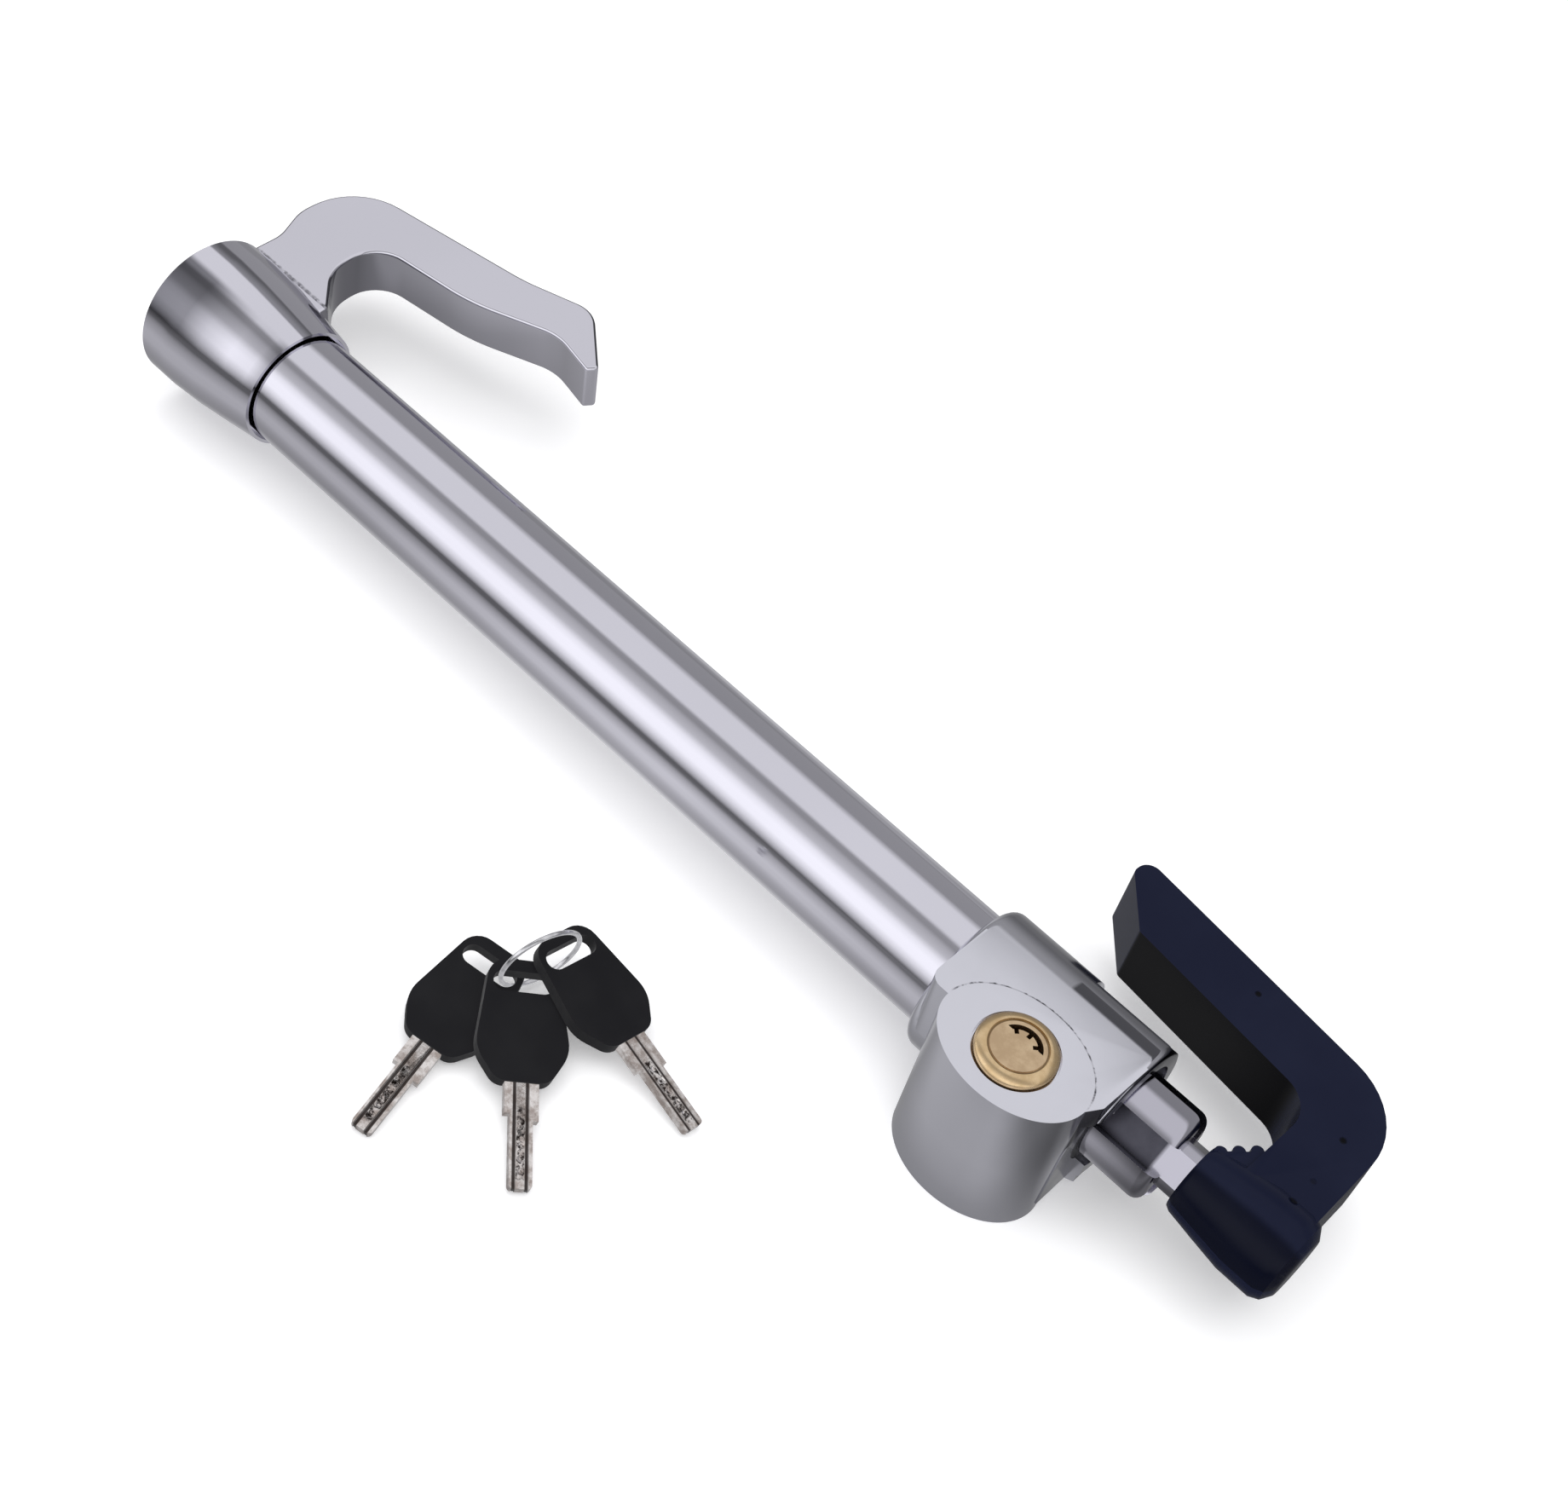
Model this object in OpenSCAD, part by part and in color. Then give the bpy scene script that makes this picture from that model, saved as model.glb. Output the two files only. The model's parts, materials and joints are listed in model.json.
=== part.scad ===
// Telescoping double-hook steering wheel lock with its three keys.
// Frame: X along the bar, from the wheel hook's cap to the black hook, Z up
// out of the key face, +Y to the side of both hooks. The origin is on the
// tube's axis, half way along its bare length. Millimetres.

/* [Outer tube] */
// Outer radius of the tube
tube_r = 16; // [15:0.5:17]
// Inner radius of the tube
tube_bore_r = 13.6; // [13.6:0.1:13.9]
// Bare length of tube between the cap and the lock head
tube_bare = 241; // [225:1:260]
// Depth of the tube's end inside the lock head
tube_in_head = 15; // [12:1:16]
// Depth of the tube's end inside the cap
tube_in_cap = 35; // [33:1:36]

/* [Cap and wheel hook] */
// Length of the cap from its mouth to its flat end
cap_len = 39.6; // [39:0.2:42]
// Thickness of the wheel hook's flat plate
wheel_hook_t = 15; // [12:0.5:16]
// Angle at which cap and hook are clocked about the bar
wheel_hook_roll = 5; // [0:1:8]

/* [Lock head] */
// Outer radius of the head's tunnel round the bar
tunnel_r = 20; // [19.5:0.1:21]
// Length of the head along the bar
head_len = 50.5; // [50:0.5:56]
// Height of the head's flat top above the bar's axis
head_top = 19.8; // [19:0.1:20]
// Depth of the key boss below the bar's axis
head_base = 25; // [22:0.5:27]
// Half length of the oval key boss along the bar
boss_a = 20; // [18:0.5:21]
// Half width of the oval key boss across the bar
boss_b = 14.9; // [14:0.1:16]
// Distance of the lock cylinder's axis from the bar's axis
key_offset = 20; // [20:0.1:20.5]
// Distance of the lock cylinder's axis from the head's inner end
key_from_end = 27.4; // [27:0.1:28]

/* [Lock cylinder] */
// Radius of the brass cylinder
cyl_r = 10; // [9.9:0.05:10]
// Height of the brass face above the bar's axis
cyl_top = 22; // [21:0.5:23]
// Depth of the cylinder's end below the bar's axis
cyl_base = 14; // [13:0.5:15]
// Radius of the turning plug
plug_r = 6.9; // [6.5:0.1:6.9]
// Reach of the locking cam from the plug's axis
cam_r = 9.5; // [9.2:0.1:9.6]
// Half height of the locking cam
cam_h = 4.8; // [4:0.2:5]

/* [Inner rod] */
// Outer radius of the fluted rod
rod_r = 12.8; // [12.5:0.1:12.8]
// Width of each of the rod's four flutes
flute_w = 8.4; // [8:0.2:9.2]
// Distance of the flutes' floors from the rod's axis
flute_floor = 6.3; // [6:0.1:7]
// Number of locking steps along the rod
steps = 10; // [6:1:10]
// Distance between locking notches
pitch = 18; // [16:1:18]
// Bare length of the rod in front of the head when closed
rod_bare = 15.2; // [13:0.2:18]
// Radius of the turned neck behind the black hook
neck_r = 7.4; // [7:0.1:8]

/* [Black hook] */
// Thickness of the black hook across its flat faces
hook_t = 18.6; // [17:0.2:19]
// Thickness of the steel core inside it
core_t = 8; // [6:0.5:9]
// Largest radius of the round grip
grip_r = 11.75; // [11:0.25:13]

/* [Keys] */
// Thickness of a key's head
key_head_t = 3.4; // [3:0.1:4]
// Thickness of a key's blade
key_blade_t = 2.2; // [2:0.1:2.4]
// Outer radius of the key ring
ring_r = 10.9; // [10.8:0.1:11]
// Radius of the key ring's wire
wire_r = 0.6; // [0.5:0.1:0.7]

/* [Hidden] */
$fn = 64;

mouth_x = -tube_bare / 2;
head_x = tube_bare / 2;
head_end = head_x + head_len;
key_x = head_x + key_from_end;
tube_x0 = mouth_x - tube_in_cap;
tube_x1 = head_x + tube_in_head;
travel = steps * pitch;
rod_end = head_end + rod_bare;
// The rod's inner end stops on the guide sleeve at full travel
rod_x0 = tube_x0 + 56;
ring_len = 12;
sleeve_x0 = rod_x0 + ring_len + travel;
neck_len = 6;
core_x0 = rod_end + neck_len + 0.5;
grip_x0 = rod_end + 4.8;
grip_end = rod_end + 34.8;
tail_r = 5;
tail_end = grip_end - 7;
slip = 0.05;
plug_base = -8.6;
pin_z = [17, 14.6, 9.4, 7, -6.7];
pin_r = 0.9;
pin_dowel_z = 12;
big = 60;

// ---- Helpers ----
function unit(v) = v / norm(v);
// Points of the arc of radius r that rounds the corner p between a and b
function corner(a, p, b, r, n) =
    let (u = unit(a - p), w = unit(b - p), half = acos(u * w) / 2,
         c = p + unit(u + w) * r / sin(half),
         s = p + u * r / tan(half) - c, e = p + w * r / tan(half) - c,
         a0 = atan2(s[1], s[0]), a1 = atan2(e[1], e[0]),
         d = a1 - a0, sweep = d > 180 ? d - 360 : d < -180 ? d + 360 : d)
    [for (i = [0 : n]) c + r * [cos(a0 + sweep * i / n), sin(a0 + sweep * i / n)]];
// Outline through corners given as [x, y, radius], each rounded by its arc
function rounded(p, n = 10) =
    [for (i = [0 : len(p) - 1])
        let (m = len(p), q = p[i], a = p[(i + m - 1) % m], b = p[(i + 1) % m])
        each (q[2] == 0 ? [[q[0], q[1]]]
              : corner([a[0], a[1]], [q[0], q[1]], [b[0], b[1]], q[2], n))];

// Solid turned about the bar's axis from [x, radius] points
module turned(points) {
    rotate([0, 90, 0]) rotate_extrude() polygon([for (p = points) [p[1], p[0]]]);
}

// Round bar along X from x0 to x1
module bar(x0, x1, r) {
    translate([x0, 0, 0]) rotate([0, 90, 0]) cylinder(r = r, h = x1 - x0);
}

// Upright round bar from z0 to z1
module post(x, y, z0, z1, r) {
    translate([x, y, z0]) cylinder(r = r, h = z1 - z0);
}

// Flat plate of thickness t, centred on the bar's axis
module plate(points, t) {
    translate([0, 0, -t / 2]) linear_extrude(t) polygon(points);
}

// Oval outline of half axes a and b
function oval(a, b, n = 96) = [for (i = [0 : n - 1]) [a * cos(360 * i / n), b * sin(360 * i / n)]];

// ---- Cap end ----
module outer_tube() {
    color("silver") difference() {
        bar(tube_x0, tube_x1, tube_r);
        bar(tube_x0 - 1, tube_x1 + 1, tube_bore_r);
        cap_screw_hole(tube_r - 4);
        head_screw_holes(tube_r - 4);
    }
}

cap_end = mouth_x - cap_len;
cap_rim = 0.5;
// Flare from the mouth to the flat end
cap_profile = [[mouth_x, 0], [mouth_x, 17.7], [mouth_x - 10, 19.14], [mouth_x - 20, 20.43],
               [mouth_x - 30, 21.18], [cap_end + cap_rim, 21.22],
               [cap_end, 21.22 - cap_rim], [cap_end, 0]];
mouth_gap = 0.8;
cap_screw_x = mouth_x - 24;
screw_r = 2.5;

module cap_screw_hole(depth) {
    rotate([180 + wheel_hook_roll, 0, 0]) post(cap_screw_x, 0, depth, big, screw_r);
}

module end_cap() {
    color("silver") difference() {
        turned(cap_profile);
        bar(tube_x0 - slip, mouth_x + 1, tube_r + slip);
        // Counterbore that leaves the dark ring round the tube at the mouth
        bar(mouth_x - 5, mouth_x + 1, tube_r + mouth_gap);
        cap_screw_hole(tube_r - 1);
        rotate([wheel_hook_roll, 0, 0]) plate(wheel_hook_tenon, wheel_hook_t);
    }
}

module cap_screw() {
    color("dimgray") rotate([180 + wheel_hook_roll, 0, 0]) difference() {
        post(cap_screw_x, 0, tube_bore_r + 0.2, 20, screw_r - 0.02);
        translate([cap_screw_x, 0, 17]) cylinder(r = 1.45, h = 4, $fn = 6);
    }
}

// The hook's root sits in a slot across the cap, from its flat end to tenon_x
hook_y = 17;
tenon_x = mouth_x - 13;
wheel_hook_tenon = [[cap_end - 1, hook_y], [cap_end - 1, 25],
                    [tenon_x, 25], [tenon_x, hook_y]];
wheel_hook_line = rounded([
    [cap_end, hook_y, 0], [cap_end, 19.3, 0], [mouth_x - 43.4, 19.6, 0],
    [mouth_x - 43.2, 29, 12], [mouth_x - 47.4, 39, 14], [mouth_x - 47, 59.2, 19],
    [mouth_x + 12, 70.2, 60], [mouth_x + 32.6, 77.3, 9], [mouth_x + 49.6, 62.9, 1.2],
    [mouth_x + 47.6, 59.9, 0.9], [mouth_x + 33.3, 62.8, 15], [mouth_x + 9, 52.4, 60],
    [mouth_x - 24.4, 47.4, 10.5], [mouth_x - 23.7, 31, 13], [tenon_x, 20.8, 0],
    [tenon_x, hook_y, 0]]);

module wheel_hook() {
    color("silver") rotate([wheel_hook_roll, 0, 0]) plate(wheel_hook_line, wheel_hook_t);
}

module tube_buffer() {
    color([0.1, 0.1, 0.1]) difference() {
        bar(tube_x0, rod_x0 - 10, tube_bore_r - slip);
        bar(rod_x0 - 16, rod_x0, 5);
    }
}

module guide_sleeve() {
    color("ivory") difference() {
        bar(sleeve_x0, tube_x1, tube_bore_r - slip);
        bar(sleeve_x0 - 1, tube_x1 + 1, rod_r + 0.08);
    }
}

// ---- Lock head ----
head_round = 3;
end_round = 2;
// Relief on the side away from the boss, from the lock cylinder to the far end
relief_depth = 1.1;
relief_from = -30;
relief_to = 55;
web_rise = 6;
head_screw_x = head_x + 7.5;

module head_screw_holes(depth) {
    for (a = [150, 210]) rotate([a, 0, 0]) post(head_screw_x, 0, depth, big, screw_r);
}

// Round tunnel with rounded ends, squared on top beside the key boss
module head_tunnel() {
    turned(rounded([[head_x, 0, 0], [head_x, tunnel_r, head_round],
                    [head_end, tunnel_r, end_round], [head_end, 0, 0]], 6));
    linear_extrude(head_top) polygon(rounded([
        [head_x + 1.5, 0, 0], [head_x + 1.5, -key_offset - 0.5, 3.5],
        [key_x, -key_offset - 0.5, 0], [key_x + boss_a, -key_offset, 0],
        [head_end - 0.8, -16, 1.5], [head_end - 0.5, 0, 0]], 6));
}

// Web that carries the boss from its base to the underside of the tunnel; its
// lower edge rises towards the far end
module head_web() {
    x0 = key_x - boss_a + 1.5;
    x1 = head_end - 0.5;
    difference() {
        translate([x0, 0, 0]) rotate([90, 0, 90]) linear_extrude(x1 - x0)
            polygon([[-key_offset, -head_base], [-2.5, -tunnel_r + 0.1], [0, 0],
                     [-key_offset, 0]]);
        rotate([90, 0, 0]) linear_extrude(big)
            polygon([[key_x + 13, -head_base], [x1 + 1, -head_base + web_rise],
                     [x1 + 1, -big], [key_x + 13, -big]]);
    }
}

// Sector of the ring between r and the tunnel's outside, about the bar's axis
module head_relief(r) {
    intersection() {
        difference() {
            bar(key_x - 0.4, head_end + 1, tunnel_r + 1);
            bar(key_x - 1, head_end + 2, r);
        }
        translate([key_x - 1, 0, 0]) rotate([90, 0, 90]) linear_extrude(head_len)
            polygon([[0, 0], [big * cos(relief_from), big * sin(relief_from)], [big, 0],
                     [big * cos(relief_to), big * sin(relief_to)]]);
    }
}

// Step under the flat top, on the boss's side, where the casting stops short and
// the rod's flank shows
step_x = key_x + boss_a + 0.3;
step_y = -9.5;
step_z = 12.5;

module head_step() {
    translate([step_x, step_y - big, step_z - big]) cube(big);
}

module lock_head() {
    color("lightsteelblue") difference() {
        union() {
            intersection() {
                head_tunnel();
                translate([head_x - 1, -big / 2, -big / 2])
                    cube([head_len + 2, big, big / 2 + head_top]);
            }
            translate([key_x, -key_offset, -head_base])
                linear_extrude(head_base + head_top) polygon(oval(boss_a, boss_b));
            head_web();
        }
        bar(head_x - 1, tube_x1, tube_r + slip);
        bar(tube_x1 - 1, head_end + 1, rod_r + 0.3);
        bar(head_end - 10, head_end + 1, 15);
        post(key_x, -key_offset, -cyl_base, big, cyl_r + slip);
        post(key_x, -key_offset, head_top - 1.2, big, cyl_r + 0.45);
        post(key_x, -key_offset, -big, 0, 2.1);
        post(key_x, -key_offset, -big, -head_base + 4.4, 3.7);
        head_relief(tunnel_r - relief_depth);
        head_step();
        head_screw_holes(tube_r - 1);
    }
}

module head_screws() {
    color("dimgray") for (a = [150, 210]) rotate([a, 0, 0]) difference() {
        post(head_screw_x, 0, tube_bore_r + 0.2, 19, screw_r - 0.02);
        translate([head_screw_x, 0, 16.5]) cylinder(r = 1.45, h = 4, $fn = 6);
    }
}

// Bush with four keys that ride in the rod's flutes and stop it turning
module front_bush() {
    bush_x0 = head_end - 9.9;
    bush_x1 = step_x - 0.2;
    color([0.12, 0.12, 0.13]) {
        difference() {
            bar(bush_x0, bush_x1, 14.95);
            bar(bush_x0 - 1, bush_x1 + 1, rod_r + 0.07);
        }
        for (a = [45 : 90 : 315]) rotate([a, 0, 0]) intersection() {
            translate([bush_x0, -flute_w / 2 + 0.15, flute_floor + 1.5])
                cube([bush_x1 - bush_x0, flute_w - 0.3, 8]);
            bar(bush_x0, bush_x1, 14.9);
        }
    }
}

// ---- Lock cylinder, built round the plug's own upright axis ----
module at_key() { translate([key_x, -key_offset, 0]) children(); }

// Pie slice between two angles, wide enough to clip the cam or its slot
module slice(a0, a1, z0, z1, r) {
    reach = 2 * r;
    n = ceil((a1 - a0) / 30);
    translate([0, 0, z0]) linear_extrude(z1 - z0) intersection() {
        circle(r);
        polygon(concat([[0, 0]], [for (i = [0 : n])
            let (a = a0 + (a1 - a0) * i / n) reach * [cos(a), sin(a)]]));
    }
}

module pin_bores(y0, y1, r) {
    for (z = pin_z) translate([0, -y0, z]) rotate([90, 0, 0])
        cylinder(r = r, h = y1 - y0, $fn = 24);
}

// Shallow groove that is turned in the face where plug and body meet
face_groove = 0.3;
face_groove_depth = 0.35;

module cylinder_body() {
    plug_hole_r = plug_r + slip;
    color("goldenrod") difference() {
        at_key() difference() {
            rotate_extrude() polygon([[0, -cyl_base], [cyl_r, -cyl_base],
                [cyl_r, head_top + 0.3], [cyl_r - 0.35, head_top + 1.1],
                [cyl_r - 1.0, cyl_top - 0.5], [cyl_r - 1.9, cyl_top - 0.05],
                [cyl_r - 2.3, cyl_top], [0, cyl_top]]);
            post(0, 0, plug_base - 0.2, big, plug_hole_r);
            post(0, 0, cyl_top - face_groove_depth, big, plug_hole_r + face_groove);
            post(0, 0, -big, -cyl_base + 4.6, 2);
            slice(-48, 138, -cam_h - 0.2, cam_h + 0.2, cyl_r + 1);
            pin_bores(4, cyl_r - 0.4, pin_r + slip);
            dowel(dowel_r + 0.02, cyl_r + 2);
        }
        bar(head_x, head_end, rod_r + 0.35);
    }
}

// Retaining pin's shape: a dowel that crosses the plug's groove sideways
dowel_r = 0.95;

module dowel(r, half) {
    translate([-half, -plug_r - 0.1, pin_dowel_z]) rotate([0, 90, 0])
        cylinder(r = r, h = 2 * half);
}

module plug_retaining_pin() {
    color("silver") at_key() dowel(dowel_r, 5.9);
}

module cylinder_screw() {
    color("dimgray") at_key() difference() {
        union() {
            post(0, 0, -head_base + 0.4, -head_base + 4.35, 3.5);
            post(0, 0, -head_base + 4, -cyl_base + 4.4, 1.98);
        }
        translate([0, 0, -head_base]) cylinder(r = 1.7, h = 2.6, $fn = 6);
    }
}

module driver_pins() {
    color("silver") at_key() difference() {
        pin_bores(6.5, 8.1, pin_r);
        post(0, 0, -big, big, plug_r + slip + 0.02);
    }
}

// Each spring is drawn as its closed, ribbed outer shape
module pin_springs() {
    color("gray") at_key() for (z = pin_z) translate([0, -8.15, z]) rotate([90, 0, 0]) {
        cylinder(r = pin_r - 0.25, h = 1.4, $fn = 24);
        for (k = [0.05 : 0.5 : 1.1]) translate([0, 0, k])
            cylinder(r = pin_r - 0.05, h = 0.25, $fn = 24);
    }
}

// Crescent keyway with three ribs, on the side of the face next to the bar
module keyway() {
    way_r = 4.9;
    half = 1.05;
    translate([0, 0, plug_base - 1]) linear_extrude(big) {
        intersection() {
            difference() {
                circle(way_r + 0.75);
                circle(way_r - 0.5);
            }
            translate([-8, 2.4]) square([16, 8]);
        }
        for (a = [43, 90, 137]) rotate(a) translate([way_r - 1.7, -half / 2])
            square([1.6, half]);
    }
}

module cylinder_plug() {
    color("gold") at_key() difference() {
        post(0, 0, plug_base, cyl_top - 0.1, plug_r);
        difference() {
            post(0, 0, cyl_top - face_groove_depth, big, plug_r + 1);
            post(0, 0, cyl_top - 1, big, plug_r - face_groove);
        }
        difference() {
            post(0, 0, pin_dowel_z - 1.1, pin_dowel_z + 1.1, plug_r + 1);
            post(0, 0, pin_dowel_z - 2, pin_dowel_z + 2, plug_r - 1.15);
        }
        keyway();
        slice(-45, 45, -cam_h, cam_h, cyl_r);
        for (z = [-2.6, 2.6]) translate([0, 0, z]) rotate([0, 90, 0])
            cylinder(r = 0.8, h = plug_r, $fn = 24);
        pin_bores(-3.4, plug_r + 1, pin_r + slip);
    }
}

// Sector that swings into a notch of the rod when the plug is turned
cam_inner = 3;

module locking_cam() {
    color("slategray") at_key() difference() {
        slice(-45, 45, -cam_h, cam_h, cam_r);
        post(0, 0, -big, big, cam_inner);
        keyway();
        for (z = [-2.6, 2.6]) translate([0, 0, z]) rotate([0, 90, 0])
            cylinder(r = 0.8, h = 8, $fn = 24);
    }
}

module cam_dowels() {
    color("silver") at_key() for (z = [-2.6, 2.6]) translate([1.2, 0, z])
        rotate([0, 90, 0]) cylinder(r = 0.78, h = 6.6, $fn = 24);
}

module key_pins() {
    color("gold") at_key() intersection() {
        pin_bores(-3.3, plug_r, pin_r);
        post(0, 0, -big, big, plug_r - 0.02);
    }
}

// ---- Inner rod ----
module rod_notches() {
    for (k = [0 : steps]) post(key_x - k * pitch, -key_offset, -big / 2, big / 2,
                               cam_r + 0.35);
}

module inner_rod() {
    end_r = 3;
    seat_r = 8;
    color("silver") difference() {
        turned(concat([[rod_x0, 0], [rod_x0, seat_r], [rod_x0 + ring_len, seat_r],
                       [rod_x0 + ring_len, rod_r]],
            corner([rod_x0, rod_r], [rod_end, rod_r], [rod_end, 0], end_r, 6),
            [[rod_end, neck_r], [rod_end + neck_len, neck_r],
             [rod_end + neck_len, tail_r], [tail_end, tail_r], [tail_end, 0]]));
        for (a = [45 : 90 : 315]) rotate([a, 0, 0])
            translate([rod_x0 + ring_len + 6, -flute_w / 2, flute_floor])
                cube([rod_end + neck_len - rod_x0 - ring_len - 6, flute_w, 10]);
        rod_notches();
        bar(rod_x0 - 1, rod_x0 + 14, 2.5);
        hook_pin_hole(2);
    }
}

module rod_guide_ring() {
    color("ivory") difference() {
        bar(rod_x0 + 0.1, rod_x0 + ring_len - 0.05, tube_bore_r - 0.08);
        bar(rod_x0 - 1, rod_x0 + ring_len, 8.03);
    }
}

module rod_end_washer() {
    color("silver") difference() {
        bar(rod_x0 - 2, rod_x0, 11);
        bar(rod_x0 - 3, rod_x0 + 1, 2.7);
    }
}

module rod_end_screw() {
    color("dimgray") difference() {
        union() {
            bar(rod_x0 - 5, rod_x0 - 2.02, 4.6);
            bar(rod_x0 - 3, rod_x0 + 12, 2.48);
        }
        translate([rod_x0 - 6, 0, 0]) rotate([0, 90, 0]) cylinder(r = 2.3, h = 3, $fn = 6);
    }
}

// ---- Black hook ----
pin_x = tail_end - 8;

module hook_pin_hole(r) {
    post(pin_x, 0, -big / 2, big / 2, r);
}

hook_out_x = rod_end + 32.1;
hook_in_x = rod_end + 14;
hook_tip_x = rod_end - 55.1;
hook_line = rounded([
    [hook_tip_x + 0.2, 55.8, 3.7], [hook_out_x, 46.6, 20], [hook_out_x, 0, 0],
    [hook_in_x - 1, 0, 0], [hook_in_x, 30.8, 9], [hook_tip_x + 12.2, 36.8, 1.5],
    [hook_tip_x, 50.2, 2.5]]);
cover_wall = 4.5;
core_line = rounded([
    [hook_tip_x + 8, 49.6, 2], [hook_out_x - cover_wall, 41.8, 14],
    [hook_out_x - cover_wall, 0, 0], [hook_in_x + cover_wall - 0.5, 0, 0],
    [hook_in_x + cover_wall, 35.6, 5], [hook_tip_x + 15, 41.4, 1]]);

module core_shape(gap) {
    plate(core_line, core_t + 2 * gap);
    bar(core_x0 - gap, tail_end + 1 + gap, 8.2 + gap);
}

module hook_core() {
    color("dimgray") difference() {
        core_shape(0);
        bar(core_x0 - 1, tail_end + 0.1, tail_r + 0.02);
        hook_pin_hole(2);
    }
}

module hook_pin() {
    color("silver") post(pin_x, 0, -8.6, 8.6, 1.98);
}

module hook_cover() {
    color([0.1, 0.11, 0.17]) difference() {
        union() {
            plate(hook_line, hook_t);
            turned([[grip_x0, 0], [grip_x0, 8.6], [grip_x0 + 1.2, 9.3],
                    [grip_x0 + 8, 10.4], [grip_x0 + 17, grip_r],
                    [grip_end - 4, grip_r], [grip_end - 1.6, 10.6],
                    [grip_end, 8], [grip_end, 0]]);
            hook_root();
        }
        core_shape(0.02);
        bar(grip_x0 - 1, core_x0, neck_r + slip);
        post(pin_x, 0, -8.7, 8.7, 2.02);
    }
}

// Fillet with three ribs where the hook's leg meets the grip
root_rib_r = 1.6;

module hook_root() {
    half = hook_t / 2 - 1;
    plate([[grip_x0 + 2, 0], [grip_x0 + 2, 5], [hook_in_x + 2, 15.5], [hook_in_x + 4, 0]],
          2 * half);
    for (k = [0 : 2]) post(grip_x0 + 1.8 + 2.8 * k, 4.6 + 3.4 * k, -half + 0.2, half - 0.2,
                           root_rib_r);
}

// ---- Keys, lying on the surface that the lock stands on ----
floor_z = -head_base;
// Each key's slot position, heading, slot height, drop to its tip and roll
key_place = [[42.15, -75.53, -76.31, 6.80, 4.89, -8.1],
             [51.61, -73.94, -42.38, 9.43, 7.24, -8.3],
             [53.47, -61.40, -5.56, 12.22, 10.25, -9.5]];
// The ring stands nearly upright in the three slots: its centre, and the heading and
// rise of its axis
ring_place = [49.86, -67.0, floor_z + 11.74];
ring_heading = 165.8;
ring_rise = 5.6;
blade_x0 = 22.8;
blade_len = 27.2;
key_len = blade_x0 + blade_len;
shoulder_w = 8;

module at_key_place(i) {
    p = key_place[i];
    translate([p[0], p[1], floor_z + p[3]]) rotate([0, 0, p[2]])
        rotate([0, asin(p[4] / key_len), 0]) rotate([p[5], 0, 0]) children();
}

module key_head(i) {
    head_x1 = blade_x0 + 2;
    outline = rounded([[-5.6, -7.9, 5], [7.5, -9.8, 16], [17, -11.2, 9], [head_x1, -6.2, 4],
                       [head_x1, 6.2, 4], [17, 11.2, 9], [7.5, 9.8, 16], [-5.6, 7.9, 5]], 6);
    slot_half = 4.6;
    slot_r = 2.6;
    pocket = shoulder_w / 2 + 0.02;
    color([0.08, 0.08, 0.09]) at_key_place(i) difference() {
        plate(outline, key_head_t);
        for (s = [-1, 1]) translate([0, s * slot_half, -5]) cylinder(r = slot_r, h = 10);
        translate([-slot_r, -slot_half, -5]) cube([2 * slot_r, 2 * slot_half, 10]);
        plate([[blade_x0 - 7, -pocket], [blade_x0 + 5, -pocket], [blade_x0 + 5, pocket],
               [blade_x0 - 7, pocket]], key_blade_t + 0.04);
    }
}

module key_blade(i) {
    width = 5.4;
    outline = rounded([[blade_x0 - 6.9, -shoulder_w / 2, 0],
        [blade_x0 + 9.5, -shoulder_w / 2, 0], [blade_x0 + 9.5, -width / 2, 0],
        [key_len, -width / 2, 1], [key_len, width / 2, 1],
        [blade_x0 + 11, width / 2, 0], [blade_x0 + 11, shoulder_w / 2, 0],
        [blade_x0 - 6.9, shoulder_w / 2, 0]], 5);
    color("silver") at_key_place(i) difference() {
        plate(outline, key_blade_t);
        for (s = [-1, 1], t = [-1, 1]) translate([blade_x0 + 1, s * 1.5 - 0.4, t * 1.1 - 0.5])
            cube([blade_len, 0.8, 1]);
        for (k = [0 : 4], t = [-1, 1])
            translate([key_len - 4 - 3.1 * k, 0, t * (key_blade_t / 2 + 0.5)])
                sphere(r = 1.05, $fn = 24);
    }
}

module key_ring() {
    color("silver") translate(ring_place) rotate([0, 90 - ring_rise, ring_heading])
        rotate_extrude() translate([ring_r - wire_r, 0]) circle(wire_r, $fn = 24);
}

outer_tube();
end_cap();
cap_screw();
wheel_hook();
tube_buffer();
guide_sleeve();
lock_head();
head_screws();
front_bush();
cylinder_body();
cylinder_screw();
plug_retaining_pin();
driver_pins();
pin_springs();
cylinder_plug();
locking_cam();
cam_dowels();
key_pins();
inner_rod();
rod_guide_ring();
rod_end_washer();
rod_end_screw();
hook_core();
hook_pin();
hook_cover();
key_ring();
key_blade(0);  // key_blade_1
key_head(0);  // key_head_1
key_blade(1);  // key_blade_2
key_head(1);  // key_head_2
key_blade(2);  // key_blade_3
key_head(2);  // key_head_3
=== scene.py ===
import json
import math

import bmesh
import bpy
from mathutils import Matrix, Vector

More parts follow.
